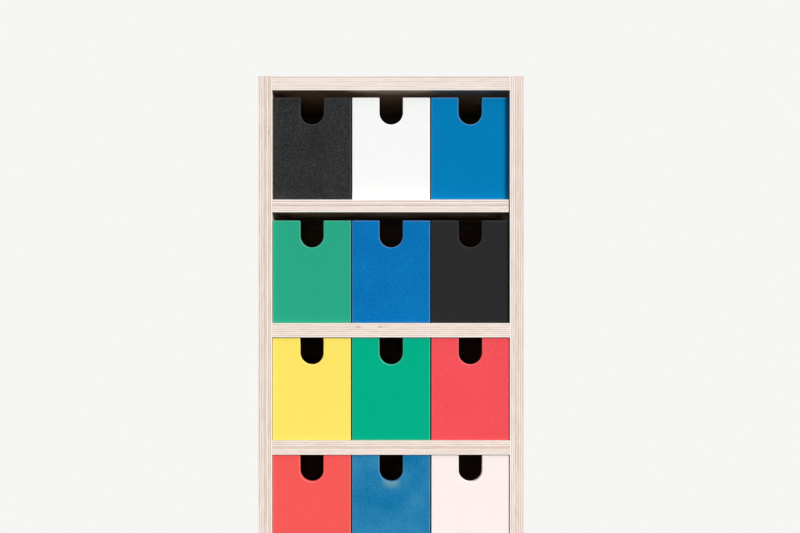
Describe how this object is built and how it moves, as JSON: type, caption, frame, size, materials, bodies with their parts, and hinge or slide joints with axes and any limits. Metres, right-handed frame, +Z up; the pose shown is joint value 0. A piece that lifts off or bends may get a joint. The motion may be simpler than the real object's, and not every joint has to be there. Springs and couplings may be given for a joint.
{
  "type": "mobile pegboard storage tower",
  "caption": "Slim plywood storage tower on swivel castors, with pegboard sides and back and rows of small sliding boxes whose coloured fronts have round finger notches.",
  "frame": {"origin": "on the floor under the middle of the tower, between the castors", "axes": "+Z up, the box fronts face -Y, +X to the right of someone who faces the fronts"},
  "size_m": [0.34, 0.34, 0.854],
  "materials": {
    "birch_ply": "clear oiled birch plywood",
    "dowel_beech": "plain beech",
    "charcoal_board": "through-dyed fibreboard, matt",
    "white_board": "through-dyed fibreboard, matt",
    "blue_board": "through-dyed fibreboard, matt",
    "sea_green_board": "through-dyed fibreboard, matt",
    "yellow_board": "through-dyed fibreboard, matt",
    "emerald_board": "through-dyed fibreboard, matt",
    "crimson_board": "through-dyed fibreboard, matt",
    "coral_board": "through-dyed fibreboard, matt",
    "steel_blue_board": "through-dyed fibreboard, mottled",
    "blush_board": "through-dyed fibreboard, matt",
    "zinc_steel": "bright zinc plate",
    "wheel_plastic": "moulded polypropylene",
    "tyre_rubber": "grey thermoplastic rubber",
    "pedal_plastic": "moulded nylon"
  },
  "bodies": {
    "tower": {"left_side_pegboard": "birch_ply", "right_side_pegboard": "birch_ply", "back_pegboard": "birch_ply", "top_panel": "birch_ply", "bottom_panel": "birch_ply", "shelf_1": "birch_ply", "shelf_2": "birch_ply", "shelf_3": "birch_ply", "shelf_4": "birch_ply", "panel_dowels": "dowel_beech", "castor_plates": "zinc_steel", "castor_screws": "zinc_steel"},
    "drawer_1_left": {"drawer_1_left_front": "charcoal_board", "drawer_1_left_box": "birch_ply"},
    "drawer_1_middle": {"drawer_1_middle_front": "white_board", "drawer_1_middle_box": "birch_ply"},
    "drawer_1_right": {"drawer_1_right_front": "blue_board", "drawer_1_right_box": "birch_ply"},
    "drawer_2_left": {"drawer_2_left_front": "sea_green_board", "drawer_2_left_box": "birch_ply"},
    "drawer_2_middle": {"drawer_2_middle_front": "blue_board", "drawer_2_middle_box": "birch_ply"},
    "drawer_2_right": {"drawer_2_right_front": "charcoal_board", "drawer_2_right_box": "birch_ply"},
    "drawer_3_left": {"drawer_3_left_front": "yellow_board", "drawer_3_left_box": "birch_ply"},
    "drawer_3_middle": {"drawer_3_middle_front": "emerald_board", "drawer_3_middle_box": "birch_ply"},
    "drawer_3_right": {"drawer_3_right_front": "crimson_board", "drawer_3_right_box": "birch_ply"},
    "drawer_4_left": {"drawer_4_left_front": "coral_board", "drawer_4_left_box": "birch_ply"},
    "drawer_4_middle": {"drawer_4_middle_front": "steel_blue_board", "drawer_4_middle_box": "birch_ply"},
    "drawer_4_right": {"drawer_4_right_front": "blush_board", "drawer_4_right_box": "birch_ply"},
    "drawer_5_left": {"drawer_5_left_front": "blue_board", "drawer_5_left_box": "birch_ply"},
    "drawer_5_middle": {"drawer_5_middle_front": "yellow_board", "drawer_5_middle_box": "birch_ply"},
    "drawer_5_right": {"drawer_5_right_front": "sea_green_board", "drawer_5_right_box": "birch_ply"},
    "castor_front_left_swivel": {"castor_front_left_fork": "zinc_steel", "castor_front_left_axle": "zinc_steel"},
    "castor_front_left_roll": {"castor_front_left_wheel": "wheel_plastic", "castor_front_left_tyre": "tyre_rubber"},
    "castor_front_left_brake": {"castor_front_left_brake_pedal": "pedal_plastic"},
    "castor_front_right_swivel": {"castor_front_right_fork": "zinc_steel", "castor_front_right_axle": "zinc_steel"},
    "castor_front_right_roll": {"castor_front_right_wheel": "wheel_plastic", "castor_front_right_tyre": "tyre_rubber"},
    "castor_front_right_brake": {"castor_front_right_brake_pedal": "pedal_plastic"},
    "castor_rear_left_swivel": {"castor_rear_left_fork": "zinc_steel", "castor_rear_left_axle": "zinc_steel"},
    "castor_rear_left_roll": {"castor_rear_left_wheel": "wheel_plastic", "castor_rear_left_tyre": "tyre_rubber"},
    "castor_rear_right_swivel": {"castor_rear_right_fork": "zinc_steel", "castor_rear_right_axle": "zinc_steel"},
    "castor_rear_right_roll": {"castor_rear_right_wheel": "wheel_plastic", "castor_rear_right_tyre": "tyre_rubber"}
  },
  "joints": [
    {"name": "drawer_1_left_slide", "type": "slide", "parent": "tower", "child": "drawer_1_left", "axis": [0, -1, 0], "range_m": [-0.0035, 0.285]},
    {"name": "drawer_1_middle_slide", "type": "slide", "parent": "tower", "child": "drawer_1_middle", "axis": [0, -1, 0], "range_m": [-0.0035, 0.285]},
    {"name": "drawer_1_right_slide", "type": "slide", "parent": "tower", "child": "drawer_1_right", "axis": [0, -1, 0], "range_m": [-0.0035, 0.285]},
    {"name": "drawer_2_left_slide", "type": "slide", "parent": "tower", "child": "drawer_2_left", "axis": [0, -1, 0], "range_m": [-0.0075, 0.285]},
    {"name": "drawer_2_middle_slide", "type": "slide", "parent": "tower", "child": "drawer_2_middle", "axis": [0, -1, 0], "range_m": [-0.0075, 0.285]},
    {"name": "drawer_2_right_slide", "type": "slide", "parent": "tower", "child": "drawer_2_right", "axis": [0, -1, 0], "range_m": [-0.0075, 0.285]},
    {"name": "drawer_3_left_slide", "type": "slide", "parent": "tower", "child": "drawer_3_left", "axis": [0, -1, 0], "range_m": [-0.0095, 0.285]},
    {"name": "drawer_3_middle_slide", "type": "slide", "parent": "tower", "child": "drawer_3_middle", "axis": [0, -1, 0], "range_m": [-0.0095, 0.285]},
    {"name": "drawer_3_right_slide", "type": "slide", "parent": "tower", "child": "drawer_3_right", "axis": [0, -1, 0], "range_m": [-0.0095, 0.285]},
    {"name": "drawer_4_left_slide", "type": "slide", "parent": "tower", "child": "drawer_4_left", "axis": [0, -1, 0], "range_m": [-0.0095, 0.285]},
    {"name": "drawer_4_middle_slide", "type": "slide", "parent": "tower", "child": "drawer_4_middle", "axis": [0, -1, 0], "range_m": [-0.0095, 0.285]},
    {"name": "drawer_4_right_slide", "type": "slide", "parent": "tower", "child": "drawer_4_right", "axis": [0, -1, 0], "range_m": [-0.0095, 0.285]},
    {"name": "drawer_5_left_slide", "type": "slide", "parent": "tower", "child": "drawer_5_left", "axis": [0, -1, 0], "range_m": [-0.0095, 0.285]},
    {"name": "drawer_5_middle_slide", "type": "slide", "parent": "tower", "child": "drawer_5_middle", "axis": [0, -1, 0], "range_m": [-0.0095, 0.285]},
    {"name": "drawer_5_right_slide", "type": "slide", "parent": "tower", "child": "drawer_5_right", "axis": [0, -1, 0], "range_m": [-0.0095, 0.285]},
    {"name": "castor_front_left_swivel_turn", "type": "hinge", "parent": "tower", "child": "castor_front_left_swivel", "pos_m": [-0.115, -0.108, 0.07], "axis": [0, 0, 1], "continuous": true},
    {"name": "castor_front_left_wheel_spin", "type": "hinge", "parent": "castor_front_left_swivel", "child": "castor_front_left_roll", "pos_m": [-0.115, -0.13, 0.025], "axis": [1, 0, 0], "continuous": true},
    {"name": "castor_front_left_brake_press", "type": "hinge", "parent": "castor_front_left_swivel", "child": "castor_front_left_brake", "pos_m": [-0.115, -0.14508, 0.05396], "axis": [1, 0, 0], "range_deg": [0, 18]},
    {"name": "castor_front_right_swivel_turn", "type": "hinge", "parent": "tower", "child": "castor_front_right_swivel", "pos_m": [0.115, -0.108, 0.07], "axis": [0, 0, 1], "continuous": true},
    {"name": "castor_front_right_wheel_spin", "type": "hinge", "parent": "castor_front_right_swivel", "child": "castor_front_right_roll", "pos_m": [0.115, -0.13, 0.025], "axis": [1, 0, 0], "continuous": true},
    {"name": "castor_front_right_brake_press", "type": "hinge", "parent": "castor_front_right_swivel", "child": "castor_front_right_brake", "pos_m": [0.115, -0.14508, 0.05396], "axis": [1, 0, 0], "range_deg": [0, 18]},
    {"name": "castor_rear_left_swivel_turn", "type": "hinge", "parent": "tower", "child": "castor_rear_left_swivel", "pos_m": [-0.115, 0.108, 0.07], "axis": [0, 0, 1], "continuous": true},
    {"name": "castor_rear_left_wheel_spin", "type": "hinge", "parent": "castor_rear_left_swivel", "child": "castor_rear_left_roll", "pos_m": [-0.115, 0.13, 0.025], "axis": [1, 0, 0], "continuous": true},
    {"name": "castor_rear_right_swivel_turn", "type": "hinge", "parent": "tower", "child": "castor_rear_right_swivel", "pos_m": [0.115, 0.108, 0.07], "axis": [0, 0, 1], "continuous": true},
    {"name": "castor_rear_right_wheel_spin", "type": "hinge", "parent": "castor_rear_right_swivel", "child": "castor_rear_right_roll", "pos_m": [0.115, 0.13, 0.025], "axis": [1, 0, 0], "continuous": true}
  ]
}
